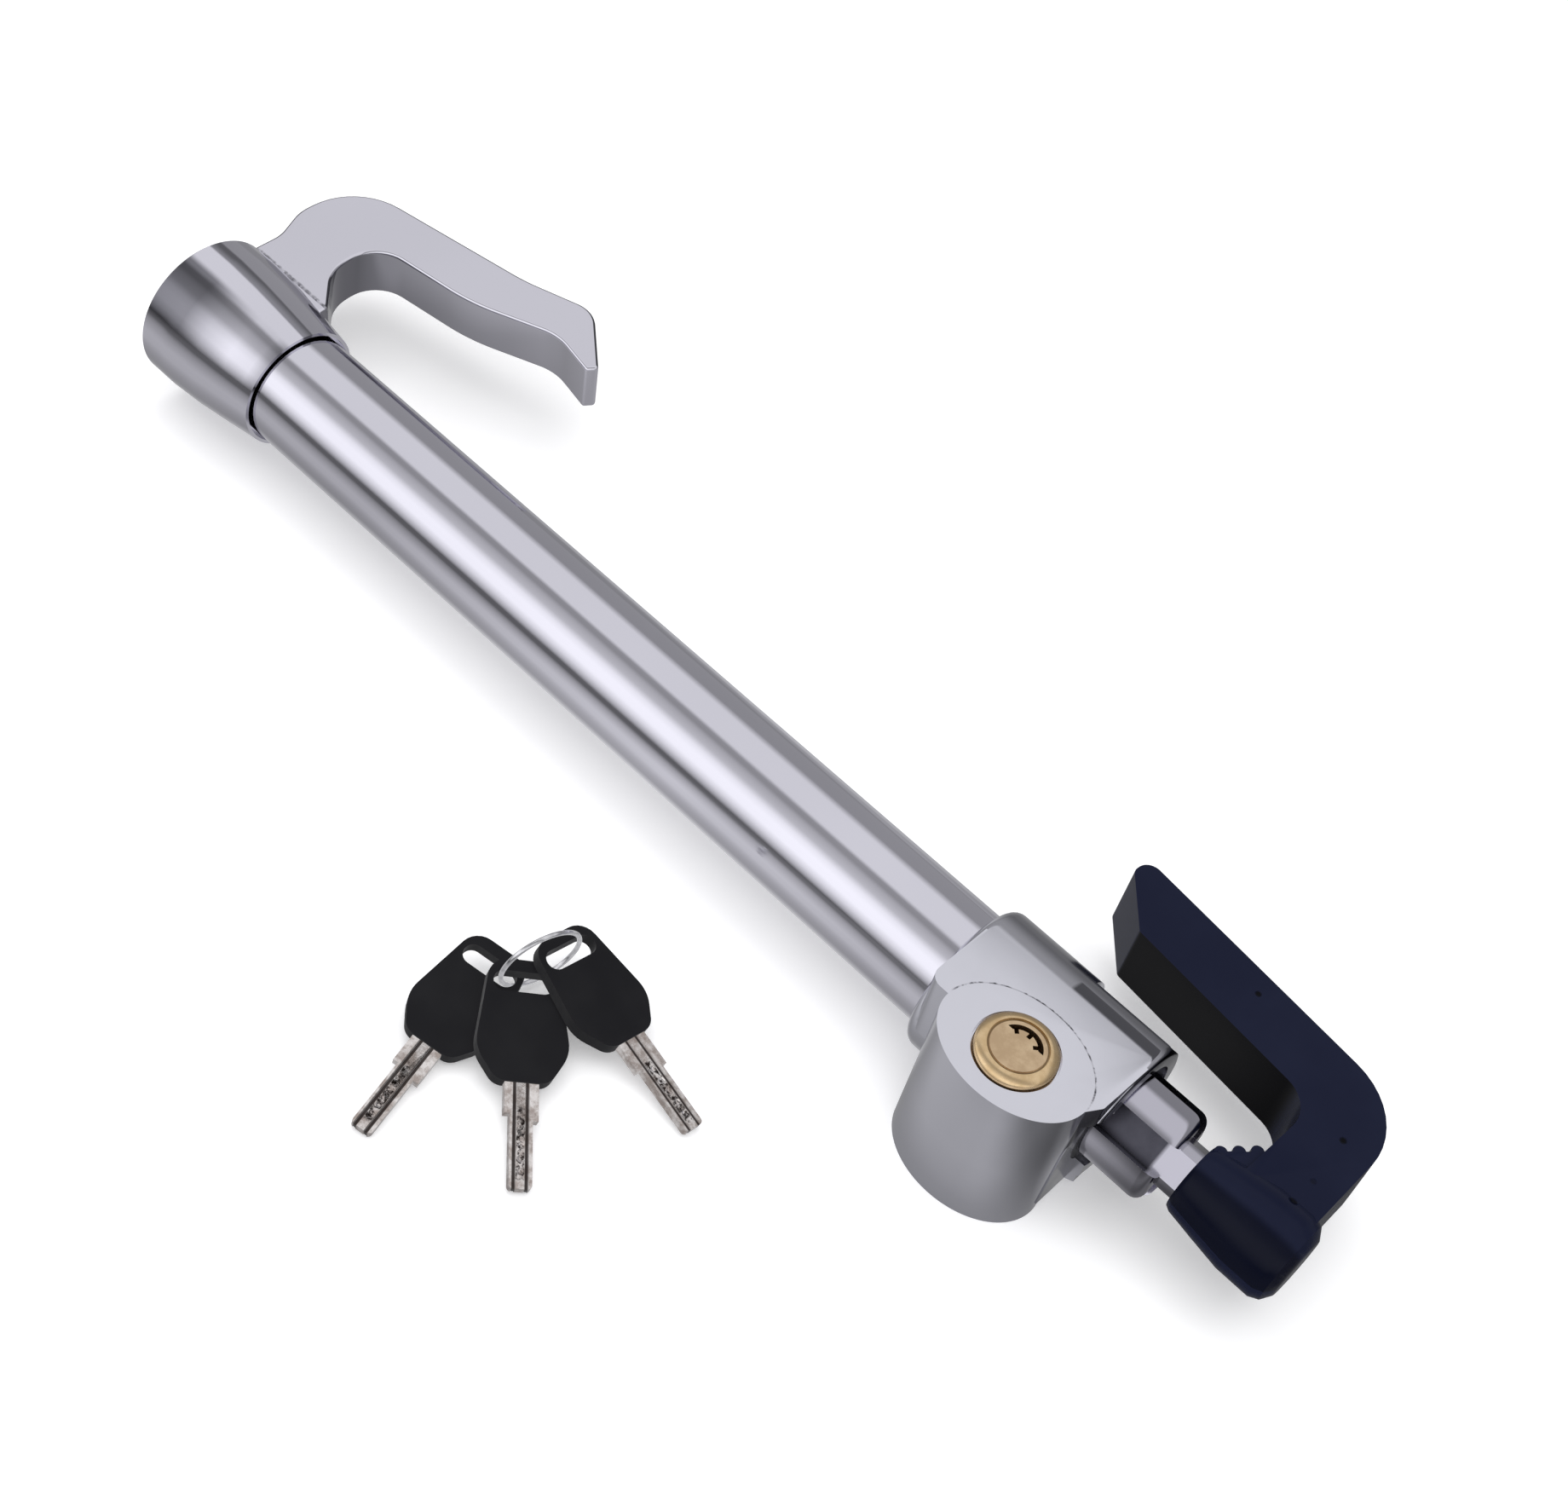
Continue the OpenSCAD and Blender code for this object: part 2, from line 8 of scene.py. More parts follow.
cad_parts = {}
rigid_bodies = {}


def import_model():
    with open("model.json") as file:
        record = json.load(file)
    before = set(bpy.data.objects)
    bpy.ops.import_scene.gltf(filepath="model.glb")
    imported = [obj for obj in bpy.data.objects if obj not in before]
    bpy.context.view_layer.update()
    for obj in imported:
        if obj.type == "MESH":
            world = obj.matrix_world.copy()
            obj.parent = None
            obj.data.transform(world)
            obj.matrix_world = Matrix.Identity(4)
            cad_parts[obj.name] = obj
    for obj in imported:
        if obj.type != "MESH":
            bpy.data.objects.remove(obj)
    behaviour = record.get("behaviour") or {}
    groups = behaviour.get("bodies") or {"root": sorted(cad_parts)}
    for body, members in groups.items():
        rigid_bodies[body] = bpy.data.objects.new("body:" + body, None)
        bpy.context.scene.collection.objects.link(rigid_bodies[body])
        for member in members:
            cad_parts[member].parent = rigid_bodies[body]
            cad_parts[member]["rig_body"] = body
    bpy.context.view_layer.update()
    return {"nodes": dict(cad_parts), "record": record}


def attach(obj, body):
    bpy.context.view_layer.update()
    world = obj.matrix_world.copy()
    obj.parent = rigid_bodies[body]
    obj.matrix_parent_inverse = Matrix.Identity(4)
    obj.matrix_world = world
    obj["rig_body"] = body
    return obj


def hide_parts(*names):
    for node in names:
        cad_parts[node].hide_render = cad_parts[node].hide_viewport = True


# Looks of the steering wheel lock and its keys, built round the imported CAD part.
# Metres, +Z up; X runs along the bar, and both hooks open along +Y.

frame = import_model()

MM = 0.001

# ---------------------------------------------------------------- places on the part

key_axis = (147.9 * MM, -20 * MM)
boss_half = (20.0 * MM, 14.9 * MM)
plug_joint_radius = 6.95 * MM
cap_radius = 21.25 * MM
weld_bead = (-136.5 * MM, 25.0 * MM)
wheel_hook_turn = math.radians(5)
floor_z = -25 * MM
floor_half = 3.0

# Where marks, painted shade and painted brightness start and stop; a face that a mark lies on is a
# little past its limit
flat_top_above = 19.7 * MM
hook_face_above = 8.5 * MM
head_ends_past = 168 * MM
grip_past = 188 * MM
rod_bright_past = 183 * MM
cap_length = (-160 * MM, -120 * MM)
hook_wall_length = (-145 * MM, -72 * MM)
flute_within, land_beyond = 7.6 * MM, 11.5 * MM

# Slot of each key in millimetres and the heading of its blade in degrees
key_places = [(42.15, -75.53, -76.31), (51.61, -73.94, -42.38), (53.47, -61.40, -5.56)]
blade_cuts = (31 * MM, 47 * MM)
blade_groove = (1.2 * MM, 1.75 * MM)

# Dents in the black hook's flat face: x, y and radius in millimetres, and depth from 0 to 1
hook_dents = [(173.1, 45.5, 1.0, 1.0), (210.1, 28.6, 1.1, 1.0), (211.6, 14.4, 1.0, 0.4),
              (211.5, 6.1, 1.4, 0.9)]

# ---------------------------------------------------------------- colours

CHROME = (0.735, 0.725, 0.80)
SATIN_CHROME = (0.72, 0.72, 0.785)
PLATE_IN_SHADE = (0.05, 0.05, 0.062)
PLASTIC_IN_SHADE = (0.001, 0.001, 0.002)
ROD_LAND = (0.54, 0.53, 0.60)
# Painted shade down in the rod's flutes, from dark to light
FLUTE_SHADE_DARK, FLUTE_SHADE_LIGHT = (0.035, 0.035, 0.045), (0.10, 0.098, 0.12)
BRASS_JOINT = (0.16, 0.09, 0.035)
BLADE_DARK, BLADE_LIGHT = (0.42, 0.36, 0.33), (0.86, 0.82, 0.80)
# Painted shade in the blades' grooves and dimples
BLADE_GROOVE_SHADE = (0.025, 0.018, 0.016)

# ---------------------------------------------------------------- node trees


class Tree:
    """Small helper that adds and links shader nodes."""

    def __init__(self, owner):
        owner.use_nodes = True
        self.tree = owner.node_tree
        self.tree.nodes.clear()

    def add(self, kind, **settings):
        node = self.tree.nodes.new(kind)
        for key, value in settings.items():
            setattr(node, key, value)
        return node

    def link(self, a, b):
        self.tree.links.new(a, b)

    def math(self, operation, a, b=None):
        node = self.add("ShaderNodeMath", operation=operation)
        for socket, value in zip(node.inputs, (a, b)):
            if value is None:
                continue
            if isinstance(value, (int, float)):
                socket.default_value = value
            else:
                self.link(value, socket)
        return node.outputs[0]

    def noise(self, coord, scale, detail=3.0, rough=0.55, stretch=None):
        if stretch:
            mapping = self.add("ShaderNodeMapping", vector_type="POINT")
            mapping.inputs["Scale"].default_value = stretch
            self.link(coord, mapping.inputs["Vector"])
            coord = mapping.outputs[0]
        node = self.add("ShaderNodeTexNoise")
        node.inputs["Scale"].default_value = scale
        node.inputs["Detail"].default_value = detail
        node.inputs["Roughness"].default_value = rough
        self.link(coord, node.inputs["Vector"])
        return node.outputs["Fac"]

    def ramp(self, value, stops):
        node = self.add("ShaderNodeValToRGB")
        ramp = node.color_ramp
        while len(ramp.elements) < len(stops):
            ramp.elements.new(0.5)
        for element, (place, colour) in zip(ramp.elements, stops):
            element.position = place
            if isinstance(colour, (int, float)):
                colour = (colour, colour, colour)
            element.color = (*colour, 1)
        self.link(value, node.inputs["Fac"])
        return node.outputs["Color"]

    def to_range(self, value, low, high, out_low, out_high, smooth=False):
        node = self.add("ShaderNodeMapRange")
        node.interpolation_type = "SMOOTHSTEP" if smooth else "LINEAR"
        for name, number in zip(("From Min", "From Max", "To Min", "To Max"),
                                (low, high, out_low, out_high)):
            node.inputs[name].default_value = number
        self.link(value, node.inputs["Value"])
        return node.outputs["Result"]

    def mix(self, factor, a, b):
        node = self.add("ShaderNodeMix", data_type="RGBA")
        factor_in, colour_a, colour_b = (node.inputs[place] for place in (0, 6, 7))
        self.link(factor, factor_in)
        for socket, value in ((colour_a, a), (colour_b, b)):
            if isinstance(value, tuple):
                socket.default_value = (*value, 1)
            else:
                self.link(value, socket)
        colour_out = 2
        return node.outputs[colour_out]

    def bump(self, height, distance, strength=1.0, under=None):
        node = self.add("ShaderNodeBump")
        node.inputs["Strength"].default_value = strength
        node.inputs["Distance"].default_value = distance
        self.link(height, node.inputs["Height"])
        if under is not None:
            self.link(under, node.inputs["Normal"])
        return node.outputs["Normal"]


def axes_of(t, coord):
    """The three coordinates as separate values."""
    split = t.add("ShaderNodeSeparateXYZ")
    t.link(coord, split.inputs[0])
    return split.outputs["X"], split.outputs["Y"], split.outputs["Z"]


def surface_normal(t):
    """The three parts of the surface's normal."""
    return axes_of(t, t.add("ShaderNodeNewGeometry").outputs["Normal"])


def largest(t, first, *others):
    for value in others:
        first = t.math("MAXIMUM", first, value)
    return first


def product(t, first, *others):
    for value in others:
        first = t.math("MULTIPLY", first, value)
    return first


def round_bar(t, a, b):
    """Distance from an axis, from the two coordinates across it."""
    return t.math("SQRT", t.math("ADD", t.math("POWER", a, 2.0), t.math("POWER", b, 2.0)))


def eased_share(t, value, low, high):
    """Where a value lies between low and high, from 0 to 1, eased at both ends."""
    return t.to_range(value, low, high, 0, 1, True)


def spot(t, coord, place, radius, edge=0.35):
    """1 at a point of the XY plane, falling to 0 at the radius round it."""
    x, y, _ = axes_of(t, coord)
    away = round_bar(t, t.math("SUBTRACT", x, place[0]), t.math("SUBTRACT", y, place[1]))
    return t.to_range(away, radius * edge, radius, 1, 0, True)


def angle_about_bar(t, y, z):
    """Angle about the bar's axis in degrees: 0 at +Y, 90 at the top, 180 at -Y."""
    return t.math("MULTIPLY", t.math("ARCTAN2", z, y), 180 / math.pi)


def band(t, value, start, end, edge):
    """1 from start to end, falling to 0 over the edge on either side."""
    rise = t.to_range(value, start - edge, start, 0, 1, True)
    return t.math("MULTIPLY", rise, t.to_range(value, end, end + edge, 1, 0, True))


def surface(name, metallic=0.0, **constants):
    """A material with one Principled shader; returns (material, tree, coordinates, shader)."""
    material = bpy.data.materials.new(name)
    tree = Tree(material)
    out = tree.add("ShaderNodeOutputMaterial")
    shader = tree.add("ShaderNodeBsdfPrincipled")
    shader.inputs["Metallic"].default_value = metallic
    for key, value in constants.items():
        shader.inputs[key.replace("_", " ")].default_value = value
    tree.link(shader.outputs[0], out.inputs["Surface"])
    coord = tree.add("ShaderNodeTexCoord").outputs["Object"]
    return material, tree, coord, shader


def plated(name, tint, rough=(0.05, 0.12), grain=(25, 700, 700), grain_depth=0.6e-6,
           peel=1.2e-6, detail=None):
    """Chrome plate: fine polishing lines along the bar, slight orange peel, faint wipe marks.

    detail(tree, coordinates) gives (shade, height): a 0 to 1 darkening and a relief in metres."""
    material, t, coord, shader = surface(name, metallic=1.0)
    lines = t.noise(coord, 1.0, 4.0, 0.6, stretch=grain)
    wipe = t.noise(coord, 26.0, 5.0, 0.62)
    cloudy = t.noise(coord, 9.0, 2.0, 0.5)
    both = t.math("MULTIPLY", t.math("ADD", lines, wipe), 0.5)
    t.link(t.to_range(both, 0.35, 0.66, *rough), shader.inputs["Roughness"])
    dark = tuple(c * 0.955 for c in tint)
    plate_colour = t.mix(eased_share(t, cloudy, 0.35, 0.65), dark, tint)
    first = t.bump(lines, grain_depth)
    if detail:
        shade, height = detail(t, coord)
        plate_colour = t.mix(shade, plate_colour, PLATE_IN_SHADE)
        first = t.bump(height, 1.0, 1.0, first)
    t.link(plate_colour, shader.inputs["Base Color"])
    t.link(t.bump(t.noise(coord, 420.0, 2.0, 0.5), peel, 1.0, first), shader.inputs["Normal"])
    return material


def weld_and_crevice_shade(t, coord):
    """Painted shade in the crevice, and an uneven weld in relief, where the wheel hook's root leaves
    the cap.
    """
    x, y, z = axes_of(t, coord)
    radius = round_bar(t, y, z)
    crevice_depth, bead_depth, bead_radius = 0.25 * MM, 0.02 * MM, 4.6 * MM
    near = product(
        t, t.to_range(radius, cap_radius, cap_radius + 0.05 * MM, 0, 1),
        t.to_range(radius, cap_radius + 0.2 * MM, cap_radius + 1.5 * MM, 1, 0, True),
        t.to_range(x, -134 * MM, -131 * MM, 1, 0))
    lumps = t.noise(coord, 620.0, 4.0, 0.6)
    shade = t.math("MULTIPLY", near, t.to_range(lumps, 0.36, 0.6, 0.1, 0.85))
    bead = spot(t, coord, weld_bead, bead_radius, 0.6)
    relief = t.math("MULTIPLY", lumps, t.math("ADD", t.math("MULTIPLY", near, crevice_depth),
                                              t.math("MULTIPLY", bead, bead_depth)))
    return shade, relief


def cap_shade_bands(t, coord):
    """Painted shade, standing for darker reflections, along the flare's crown and over its front
    towards the flat end.
    """
    x, y, z = axes_of(t, coord)
    angle = angle_about_bar(t, y, z)
    crown_shade, swell_depth = 0.66, 0.004 * MM
    front_shade = [(0, 0.78), (0.3, 0.74), (0.5, 0.35), (0.72, 0.06), (0.9, 0.12), (1, 0.5)]
    crown = t.math("MULTIPLY", band(t, angle, 79, 86.5, 2.5), crown_shade)
    along = t.ramp(t.to_range(x, *cap_length, 0, 1), front_shade)
    front = t.math("MULTIPLY", band(t, angle, 107, 152, 6), along)
    swell = t.math("MULTIPLY", t.noise(coord, 90.0, 2.0, 0.5), swell_depth)
    return largest(t, crown, front), swell


def hook_shade(t, coord):
    """Painted shade on the wheel hook: a dark line round its outer edge, an inner wall that gets
    darker towards the root, a slightly darker flat face, and the weld with its painted crevice
    shade."""
    x, _, _ = axes_of(t, coord)
    nx, ny, nz = surface_normal(t)
    wall_shade = [(0, 0.66), (0.25, 0.58), (0.6, 0.38), (1, 0.1)]
    line_shade, face_shade = 0.9, 0.1
    wall = t.to_range(nz, 0.25, 0.6, 1, 0, True)
    depth = t.ramp(t.to_range(x, *hook_wall_length, 0, 1), wall_shade)
    # The flat face leans to -Y by the angle that the hook is turned about the bar
    lean = math.sin(wheel_hook_turn)
    turned_out = t.math("SUBTRACT", t.math("ADD", ny, lean), t.math("MULTIPLY", nx, 0.6))
    outward = t.to_range(turned_out, 0.02, 0.12, 0, line_shade)
    line = t.math("MULTIPLY", band(t, nz, 0.3, 0.978, 0.01), outward)
    face = t.to_range(nz, 0.98, 0.99, 0, face_shade)
    weld, relief = weld_and_crevice_shade(t, coord)
    return largest(t, t.math("MULTIPLY", wall, depth), line, face, weld), relief


def boss_seam(t, coord):
    """Faint joint with pits round the oval boss where it meets the flat top."""
    x, y, z = axes_of(t, coord)
    seam_depth = 0.1 * MM
    u = t.math("DIVIDE", t.math("SUBTRACT", x, key_axis[0]), boss_half[0])
    v = t.math("DIVIDE", t.math("SUBTRACT", y, key_axis[1]), boss_half[1])
    away = t.math("ABSOLUTE", t.math("SUBTRACT", round_bar(t, u, v), 1.0))
    line = t.to_range(away, 0.003, 0.016, 1, 0, True)
    on_top = t.math("MULTIPLY", t.to_range(z, flat_top_above - 0.3 * MM, flat_top_above, 0, 1),
                    t.to_range(y, -19.5 * MM, -17.0 * MM, 0, 1))
    pits = t.to_range(t.noise(coord, 520.0, 4.0, 0.65), 0.45, 0.64, 0.12, 1.0)
    shade = product(t, line, on_top, pits)
    return shade, t.math("MULTIPLY", shade, -seam_depth)


def head_shade(t, coord):
    """The head's joint round the boss, with painted shade below the flat top's far edge, along that
    edge, on the end face and the step beside the boss, and down the boss's side."""
    x, y, z = axes_of(t, coord)
    nx, ny, nz = surface_normal(t)
    side_shade, edge_shade, end_shade = 0.66, 0.8, 0.82
    seam, relief = boss_seam(t, coord)
    far_side = t.math("MULTIPLY", band(t, angle_about_bar(t, y, z), 50, 62, 16), side_shade)
    past = t.to_range(x, head_ends_past - 0.1 * MM, head_ends_past + 0.1 * MM, 0, 1)
    end_face = t.math("MULTIPLY", t.to_range(nx, 0.6, 0.85, 0, end_shade), past)
    facing_far = t.to_range(ny, 0.05, 0.12, 0, edge_shade)
    edge = t.math("MULTIPLY", band(t, nz, 0.94, 0.985, 0.012),
                  t.math("MULTIPLY", facing_far, t.to_range(x, 145 * MM, 146 * MM, 0, 1)))
    low = t.math("SUBTRACT", t.to_range(z, -4 * MM, -20 * MM, 0.18, 0.32),
                 t.to_range(nx, 0.2, 0.8, 0, 0.13))
    upright = t.to_range(nz, 0.2, 0.6, 1, 0)
    boss = t.math("MULTIPLY", low, t.math("MULTIPLY", upright,
                                          t.to_range(y, -16 * MM, -20 * MM, 0, 1)))
    return largest(t, seam, far_side, edge, end_face, boss), relief


def hook_dents_and_shade(t, coord):
    """Small dents in the black hook's flat face, darkened as well as sunk, with painted shade on the
    grip's near side and on the arm's inner wall."""
    x, y, z = axes_of(t, coord)
    _, ny, nz = surface_normal(t)
    dent_depth, grip_shade = 0.5 * MM, 0.6
    dents = None
    for px, py, radius, depth in hook_dents:
        dent = t.math("MULTIPLY", spot(t, coord, (px * MM, py * MM), radius * MM), depth)
        dents = dent if dents is None else t.math("ADD", dents, dent)
    dents = t.math("MULTIPLY", dents, t.to_range(z, hook_face_above - 1 * MM, hook_face_above, 0, 1))
    grip = t.math("MULTIPLY", t.to_range(x, grip_past, grip_past + 2 * MM, 0, grip_shade),
                  band(t, angle_about_bar(t, y, z), 118, 200, 14))
    inner = t.math("MULTIPLY", t.to_range(nz, 0.3, 0.6, 1, 0),
                   t.math("MULTIPLY", t.to_range(ny, -0.8, -0.95, 0, 1),
                          t.to_range(y, 14 * MM, 18 * MM, 0, 1)))
    return largest(t, dents, grip, inner), t.math("MULTIPLY", dents, -dent_depth)


def rod_plate():
    """Chrome on the rod: bright lands, painted shade down in the flutes, and a painted bright
    reflection all round from just before the neck."""
    material, t, coord, shader = surface("rod_chrome", metallic=1.0)
    x, y, z = axes_of(t, coord)
    line_depth = 1.2e-6
    neck = t.to_range(x, rod_bright_past, rod_bright_past + 1 * MM, 0, 0.8)
    land = largest(t, neck, eased_share(t, round_bar(t, y, z), flute_within, land_beyond))
    smear = t.noise(coord, 130.0, 5.0, 0.65)
    lines = t.noise(coord, 1.0, 4.0, 0.6, stretch=(700, 60, 60))
    shade = t.mix(smear, FLUTE_SHADE_DARK, FLUTE_SHADE_LIGHT)
    t.link(t.mix(land, shade, ROD_LAND), shader.inputs["Base Color"])
    t.link(t.math("ADD", t.to_range(land, 0, 1, 0.24, 0.07), t.math("MULTIPLY", smear, 0.08)),
           shader.inputs["Roughness"])
    t.link(t.bump(lines, line_depth), shader.inputs["Normal"])
    return material


def turned_brass(name, base, shade, rough=(0.22, 0.36)):
    """Brass faced on a lathe: fine rings round the key axis, and handling stains."""
    material, t, coord, shader = surface(name, metallic=1.0)
    ring_pitch, ring_depth, stain_depth, joint_shade = 0.22 * MM, 1.6e-6, 1.5e-6, 0.75
    x, y, _ = axes_of(t, coord)
    radius = round_bar(t, t.math("SUBTRACT", x, key_axis[0]), t.math("SUBTRACT", y, key_axis[1]))
    rings = t.math("SINE", t.math("MULTIPLY", radius, 2 * math.pi / ring_pitch))
    rings = t.math("MULTIPLY", rings, t.noise(coord, 240.0, 3.0))
    stain = t.noise(coord, 260.0, 6.0, 0.68)
    colour = t.mix(eased_share(t, stain, 0.38, 0.68), shade, base)
    away = t.math("ABSOLUTE", t.math("SUBTRACT", radius, plug_joint_radius))
    joint = t.to_range(away, 0.18 * MM, 0.34 * MM, 1, 0, True)
    t.link(t.mix(t.math("MULTIPLY", joint, joint_shade), colour, BRASS_JOINT),
           shader.inputs["Base Color"])
    t.link(t.to_range(stain, 0.3, 0.7, rough[1], rough[0]), shader.inputs["Roughness"])
    t.link(t.bump(rings, ring_depth, 0.6, t.bump(stain, stain_depth)), shader.inputs["Normal"])
    return material


def moulded(name, low, high, rough, grain_scale, grain_depth, shine=0.5, sheen_scale=30.0,
            detail=None):
    """Moulded plastic: fine grain, slow colour change and uneven polish from handling."""
    material, t, coord, shader = surface(name, Specular_IOR_Level=shine)
    slow = t.noise(coord, sheen_scale, 4.0, 0.6)
    colour = t.mix(eased_share(t, slow, 0.3, 0.7), low, high)
    under = None
    if detail:
        shade, height = detail(t, coord)
        colour = t.mix(shade, colour, PLASTIC_IN_SHADE)
        under = t.bump(height, 1.0)
    t.link(colour, shader.inputs["Base Color"])
    polish = t.noise(coord, sheen_scale * 4, 5.0, 0.65)
    t.link(t.to_range(polish, 0.3, 0.7, *rough), shader.inputs["Roughness"])
    grain = t.noise(coord, grain_scale, 2.0, 0.5)
    t.link(t.bump(grain, grain_depth, 1.0, under), shader.inputs["Normal"])
    return material


def milled(name, tint, shade, rough=(0.18, 0.34)):
    """Milled or ground metal with its lines along X."""
    material, t, coord, shader = surface(name, metallic=1.0)
    line_depth = 2.5e-6
    lines = t.noise(coord, 1.0, 4.0, 0.6, stretch=(60, 2200, 2200))
    patch = t.noise(coord, 380.0, 5.0, 0.66)
    t.link(t.mix(eased_share(t, patch, 0.36, 0.66), shade, tint), shader.inputs["Base Color"])
    t.link(t.to_range(lines, 0.3, 0.7, *rough), shader.inputs["Roughness"])
    t.link(t.bump(lines, line_depth), shader.inputs["Normal"])
    return material


def key_steel(name, place):
    """Nickel silver blade: painted shade in its two grooves and in the dimples between them."""
    material, t, coord, shader = surface(name, metallic=1.0)
    x0, y0, heading = place[0] * MM, place[1] * MM, math.radians(place[2])
    x, y, _ = axes_of(t, coord)
    dx, dy = t.math("SUBTRACT", x, x0), t.math("SUBTRACT", y, y0)
    along = t.math("ADD", t.math("MULTIPLY", dx, math.cos(heading)),
                   t.math("MULTIPLY", dy, math.sin(heading)))
    across = t.math("ABSOLUTE", t.math("SUBTRACT", t.math("MULTIPLY", dy, math.cos(heading)),
                                       t.math("MULTIPLY", dx, math.sin(heading))))
    groove_shade, grain_depth = 0.95, 3e-6
    groove = t.math("MULTIPLY", band(t, across, *blade_groove, 0.3 * MM), groove_shade)
    patch = t.noise(coord, 900.0, 4.0, 0.7)
    dimples = product(t, t.to_range(across, 0.8 * MM, 1.2 * MM, 1, 0, True),
                      band(t, along, *blade_cuts, 1 * MM), eased_share(t, patch, 0.42, 0.58))
    plain = t.mix(eased_share(t, t.noise(coord, 300.0, 5.0, 0.66), 0.36, 0.66),
                  BLADE_DARK, BLADE_LIGHT)
    t.link(t.mix(largest(t, groove, dimples), plain, BLADE_GROOVE_SHADE), shader.inputs["Base Color"])
    t.link(t.to_range(patch, 0.3, 0.7, 0.1, 0.3), shader.inputs["Roughness"])
    t.link(t.bump(patch, grain_depth), shader.inputs["Normal"])
    return material


materials = {
    "chrome": plated("chrome", CHROME),
    "cap_chrome": plated("cap_chrome", CHROME, detail=cap_shade_bands),
    "hook_chrome": plated("hook_chrome", CHROME, detail=hook_shade),
    "satin_chrome": plated("satin_chrome", SATIN_CHROME, rough=(0.13, 0.21),
                           grain=(160, 160, 160), grain_depth=1.5e-6, peel=2.2e-6,
                           detail=head_shade),
    "rod_chrome": rod_plate(),
    "brass": turned_brass("brass", (0.80, 0.60, 0.36), (0.68, 0.49, 0.27)),
    "plug_brass": turned_brass("plug_brass", (0.74, 0.56, 0.36), (0.62, 0.45, 0.28),
                               rough=(0.3, 0.42)),
    "black_plastic": moulded("black_plastic", (0.0065, 0.0085, 0.024), (0.009, 0.0115, 0.029),
                             (0.16, 0.26), 900.0, 2.5e-6, shine=0.08, detail=hook_dents_and_shade),
    "key_plastic": moulded("key_plastic", (0.006, 0.006, 0.0075), (0.009, 0.009, 0.0105),
                           (0.42, 0.56), 3200.0, 8e-6, shine=0.15, sheen_scale=90.0),
    "nickel": milled("nickel", (0.74, 0.70, 0.68), (0.52, 0.46, 0.43)),
    "ring_steel": milled("ring_steel", (0.74, 0.74, 0.76), (0.55, 0.55, 0.57), rough=(0.1, 0.2)),
    "bright_steel": milled("bright_steel", (0.66, 0.66, 0.68), (0.5, 0.5, 0.52)),
    "hard_steel": milled("hard_steel", (0.30, 0.31, 0.33), (0.2, 0.2, 0.22), rough=(0.3, 0.46)),
    "black_steel": milled("black_steel", (0.09, 0.09, 0.095), (0.05, 0.05, 0.055),
                          rough=(0.36, 0.5)),
    "nylon": moulded("nylon", (0.70, 0.67, 0.58), (0.80, 0.78, 0.70), (0.38, 0.5), 1500.0, 5e-6),
    "black_nylon": moulded("black_nylon", (0.018, 0.018, 0.02), (0.03, 0.03, 0.033),
                           (0.4, 0.52), 1500.0, 6e-6),
    "rubber": moulded("rubber", (0.018, 0.018, 0.018), (0.032, 0.032, 0.032), (0.6, 0.75),
                      1100.0, 1.2e-5),
}
node_slot = {row["node"]: row["material_slot"] for row in frame["record"]["subparts"]}
# Pieces whose painted shade (and, on the wheel hook, the weld) is their own, though their slot is
# shared
own_material = {"end_cap": "cap_chrome", "wheel_hook": "hook_chrome"}
for number, place in enumerate(key_places, 1):
    blade = "key_blade_%d" % number
    own_material[blade] = blade
    materials[blade] = key_steel(blade, place)


def paint(obj, node_name):
    obj.data.materials.clear()
    obj.data.materials.append(materials[own_material.get(node_name, node_slot[node_name])])


for node_name, node_object in frame["nodes"].items():
    paint(node_object, node_name)

# ---------------------------------------------------------------- mesh pieces


same_point = 0.002 * MM
flat_enough = math.radians(0.6)
sharp_enough = math.radians(32)
ease_segments = 3


def cleaned(node_name):
    """The CAD node's surface as a bmesh with whole flat faces, so that its edges can be eased."""
    bm = bmesh.new()
    bm.from_mesh(frame["nodes"][node_name].data)
    bmesh.ops.remove_doubles(bm, verts=bm.verts, dist=same_point)
    bmesh.ops.dissolve_limit(bm, angle_limit=flat_enough, verts=bm.verts, edges=bm.edges,
                             delimit=set())
    return bm


def piece_from(bm, name, node_name, ease):
    """Turns a bmesh into a piece that stands for a CAD node, with its sharp edges eased."""
    mesh = bpy.data.meshes.new(name)
    bm.to_mesh(mesh)
    bm.free()
    for attribute in ("custom_normal", "sharp_edge", "sharp_face"):
        if attribute in mesh.attributes:
            mesh.attributes.remove(mesh.attributes[attribute])
    obj = bpy.data.objects.new(name, mesh)
    bpy.context.scene.collection.objects.link(obj)
    mesh.polygons.foreach_set("use_smooth", [True] * len(mesh.polygons))
    bevel = obj.modifiers.new("ease", "BEVEL")
    bevel.width = ease
    bevel.segments = ease_segments
    bevel.limit_method = "ANGLE"
    bevel.angle_limit = sharp_enough
    bevel.harden_normals = True
    bevel.miter_outer = "MITER_ARC"
    paint(obj, node_name)
    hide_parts(node_name)
    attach(obj, frame["nodes"][node_name]["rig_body"])
    return obj


